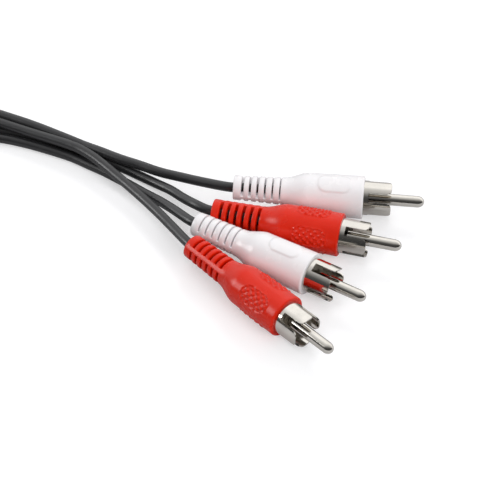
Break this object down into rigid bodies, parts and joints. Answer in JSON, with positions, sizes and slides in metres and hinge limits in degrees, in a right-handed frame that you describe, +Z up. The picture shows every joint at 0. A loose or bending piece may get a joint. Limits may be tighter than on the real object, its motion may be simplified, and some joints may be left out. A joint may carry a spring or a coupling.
{
  "type": "stereo phono audio cable",
  "caption": "Stereo audio cable: a black twin lead, coiled and tied, whose ends split into tails with moulded white and red phono plugs.",
  "frame": {"origin": "on the floor under the middle of the four plugs' bounding box, the lead and its coil left out", "axes": "+Z up; +X the way the plugs point on the whole, away from the coil; +Y to the far side, where the coil lies"},
  "size_m": [0.2122, 0.1101, 0.0123],
  "materials": {
    "white_vinyl": "satin moulded",
    "red_vinyl": "satin moulded",
    "nickel_plate": "bright nickel plate",
    "natural_plastic": "plain",
    "black_vinyl": "satin extruded",
    "copper": "bare wire",
    "tie_plastic": "plain"
  },
  "bodies": {
    "root": {"end_a_white_shell": "white_vinyl", "end_a_white_sleeve": "nickel_plate", "end_a_white_pin": "nickel_plate", "end_a_white_insulator": "natural_plastic", "end_a_white_inner_mould": "natural_plastic", "end_a_white_core_wire": "copper", "end_a_white_shield_wire": "copper", "end_a_white_tail": "black_vinyl", "end_a_red_shell": "red_vinyl", "end_a_red_sleeve": "nickel_plate", "end_a_red_pin": "nickel_plate", "end_a_red_insulator": "natural_plastic", "end_a_red_inner_mould": "natural_plastic", "end_a_red_core_wire": "copper", "end_a_red_shield_wire": "copper", "end_a_red_tail": "black_vinyl", "end_b_white_shell": "white_vinyl", "end_b_white_sleeve": "nickel_plate", "end_b_white_pin": "nickel_plate", "end_b_white_insulator": "natural_plastic", "end_b_white_inner_mould": "natural_plastic", "end_b_white_core_wire": "copper", "end_b_white_shield_wire": "copper", "end_b_white_tail": "black_vinyl", "end_b_red_shell": "red_vinyl", "end_b_red_sleeve": "nickel_plate", "end_b_red_pin": "nickel_plate", "end_b_red_insulator": "natural_plastic", "end_b_red_inner_mould": "natural_plastic", "end_b_red_core_wire": "copper", "end_b_red_shield_wire": "copper", "end_b_red_tail": "black_vinyl", "end_a_lead": "black_vinyl", "end_b_lead": "black_vinyl", "lead_coil": "black_vinyl", "coil_tie": "tie_plastic"}
  },
  "joints": []
}
